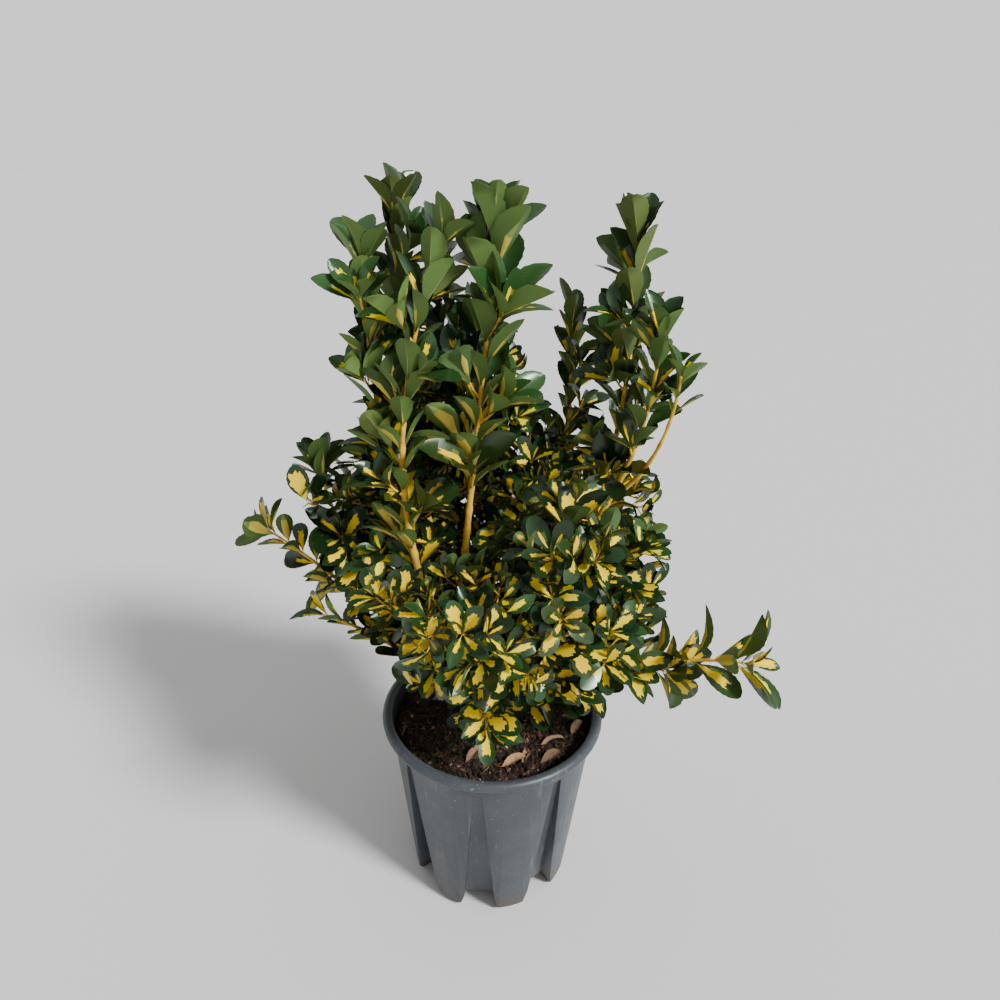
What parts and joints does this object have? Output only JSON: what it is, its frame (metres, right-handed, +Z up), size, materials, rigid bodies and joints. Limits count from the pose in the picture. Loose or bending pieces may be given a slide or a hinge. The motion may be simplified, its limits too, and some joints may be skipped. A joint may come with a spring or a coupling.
{
  "type": "potted aureopictus japanese euonymus",
  "caption": "Bushy evergreen shrub in a round nursery pot: branching boughs that carry masses of oval golden-centred leaves.",
  "frame": {"origin": "on the floor, under the middle of the pot", "axes": "+Z up; +X to the right and +Y to the back as the shrub is seen from its front"},
  "size_m": [0.6013, 0.4456, 0.8178],
  "materials": {
    "pot": "satin slate-grey moulded plastic",
    "soil": "dark moist potting compost",
    "bark": "golden-brown young bark",
    "foliage": "glossy leathery evergreen leaves"
  },
  "bodies": {
    "root": {"pot": "pot", "soil": "soil", "stem": "bark", "bough_left_leader": "bark", "bough_left_outer_leader": "bark", "bough_left_rear_leader": "bark", "bough_middle_leader": "bark", "bough_right_rear_leader": "bark", "bough_right_leader": "bark", "bough_right_fork": "bark", "bough_right_fork_low": "bark", "bough_inner_rear": "bark", "bough_centre": "bark", "bough_left_shoulder": "bark", "bough_left_cluster": "bark", "bough_left_low": "bark", "bough_left_skirt": "bark", "bough_front_left": "bark", "bough_front_high": "bark", "bough_front_middle": "bark", "bough_front_low": "bark", "bough_front_right": "bark", "bough_right_low": "bark", "bough_front_right_low": "bark", "bough_right_cluster": "bark", "bough_right_rear": "bark", "bough_back_left": "bark", "bough_back_middle": "bark", "bough_back_right": "bark", "bough_back_low_left": "bark", "bough_back_low_right": "bark", "foliage_left_leader": "foliage", "foliage_left_outer_leader": "foliage", "foliage_left_rear_leader": "foliage", "foliage_middle_leader": "foliage", "foliage_right_rear_leader": "foliage", "foliage_right_leader": "foliage", "foliage_right_fork": "foliage", "foliage_right_fork_low": "foliage", "foliage_inner_rear": "foliage", "foliage_centre": "foliage", "foliage_left_shoulder": "foliage", "foliage_left_cluster": "foliage", "foliage_left_low": "foliage", "foliage_left_skirt": "foliage", "foliage_front_left": "foliage", "foliage_front_high": "foliage", "foliage_front_middle": "foliage", "foliage_front_low": "foliage", "foliage_front_right": "foliage", "foliage_right_low": "foliage", "foliage_front_right_low": "foliage", "foliage_right_cluster": "foliage", "foliage_right_rear": "foliage", "foliage_back_left": "foliage", "foliage_back_middle": "foliage", "foliage_back_right": "foliage", "foliage_back_low_left": "foliage", "foliage_back_low_right": "foliage"}
  },
  "joints": []
}
